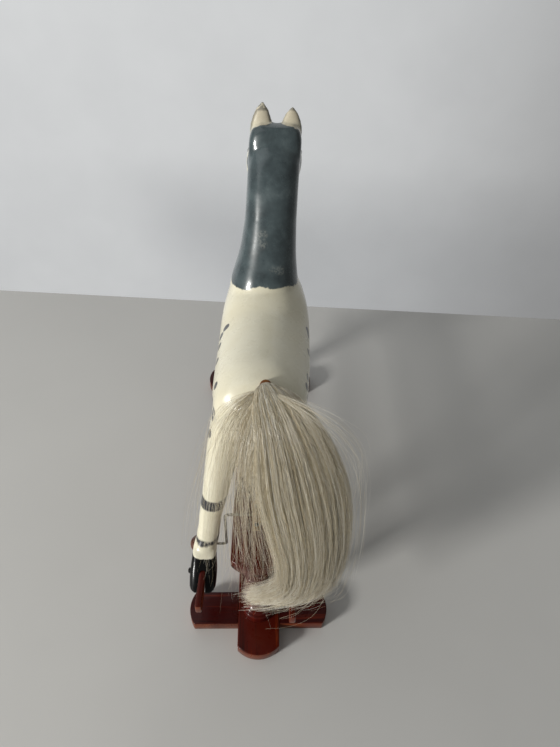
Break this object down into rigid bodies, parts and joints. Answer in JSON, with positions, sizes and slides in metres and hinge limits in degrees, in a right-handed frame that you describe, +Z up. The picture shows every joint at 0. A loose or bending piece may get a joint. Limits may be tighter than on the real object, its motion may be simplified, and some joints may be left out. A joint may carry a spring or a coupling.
{
  "type": "rocking horse model",
  "caption": "Carved and painted wooden rocking horse with a horsehair tail, hung on swing irons from a varnished stand that it rocks on.",
  "frame": {"origin": "on the floor under the middle of the stand, in the plane of its underside", "axes": "+Y along the stand, the way the horse faces; +X to the horse's right; +Z up"},
  "size_m": [0.1063, 0.314, 0.3052],
  "materials": {
    "mahogany": "glossy dark red-brown mahogany stain with grain showing, worn along the edges",
    "cream_paint": "wood painted glossy cream, with a grey-blue mane, black dapples, dark bands and black hooves",
    "brass": "dulled brass strip",
    "screw_steel": "blackened steel screw and bolt heads",
    "iron_rod": "plain grey steel rod",
    "cap_wood": "dark brown varnished turned wood",
    "horsehair": "real cream horsehair, loose and a little unruly"
  },
  "bodies": {
    "stand": {"base_beam": "mahogany", "top_bar": "mahogany", "rear_cross_piece": "mahogany", "front_cross_piece": "mahogany", "rear_pillar": "mahogany", "front_pillar": "mahogany", "rear_strap": "brass", "front_strap": "brass", "rear_strap_screw_inner": "screw_steel", "rear_strap_screw_outer": "screw_steel", "front_strap_screw_inner": "screw_steel", "front_strap_screw_outer": "screw_steel"},
    "rear_iron": {"rear_swing_iron": "iron_rod", "rear_left_iron_cap": "cap_wood", "rear_right_iron_cap": "cap_wood"},
    "front_iron": {"front_swing_iron": "iron_rod", "front_left_iron_cap": "cap_wood", "front_right_iron_cap": "cap_wood"},
    "horse": {"left_rail": "mahogany", "right_rail": "mahogany", "rear_left_hoof_bolt": "screw_steel", "rear_right_hoof_bolt": "screw_steel", "front_left_hoof_bolt": "screw_steel", "front_right_hoof_bolt": "screw_steel", "horse": "cream_paint", "tail_plug": "cap_wood", "tail": "horsehair"}
  },
  "joints": [
    {"name": "rear_swing", "type": "hinge", "parent": "stand", "child": "rear_iron", "pos_m": [0, -0.093, 0.0976], "axis": [1, 0, 0], "range_deg": [-15, 15]},
    {"name": "front_swing", "type": "hinge", "parent": "stand", "child": "front_iron", "pos_m": [0, 0.093, 0.0976], "axis": [1, 0, 0], "range_deg": [-15, 15]},
    {"name": "horse_level", "type": "hinge", "parent": "rear_iron", "child": "horse", "pos_m": [0, -0.093, 0.057], "axis": [1, 0, 0], "range_deg": [-15, 15]}
  ],
  "couplings": [
    {"joint": "front_swing", "follows": "rear_swing", "ratio": 1},
    {"joint": "horse_level", "follows": "rear_swing", "ratio": -1}
  ]
}
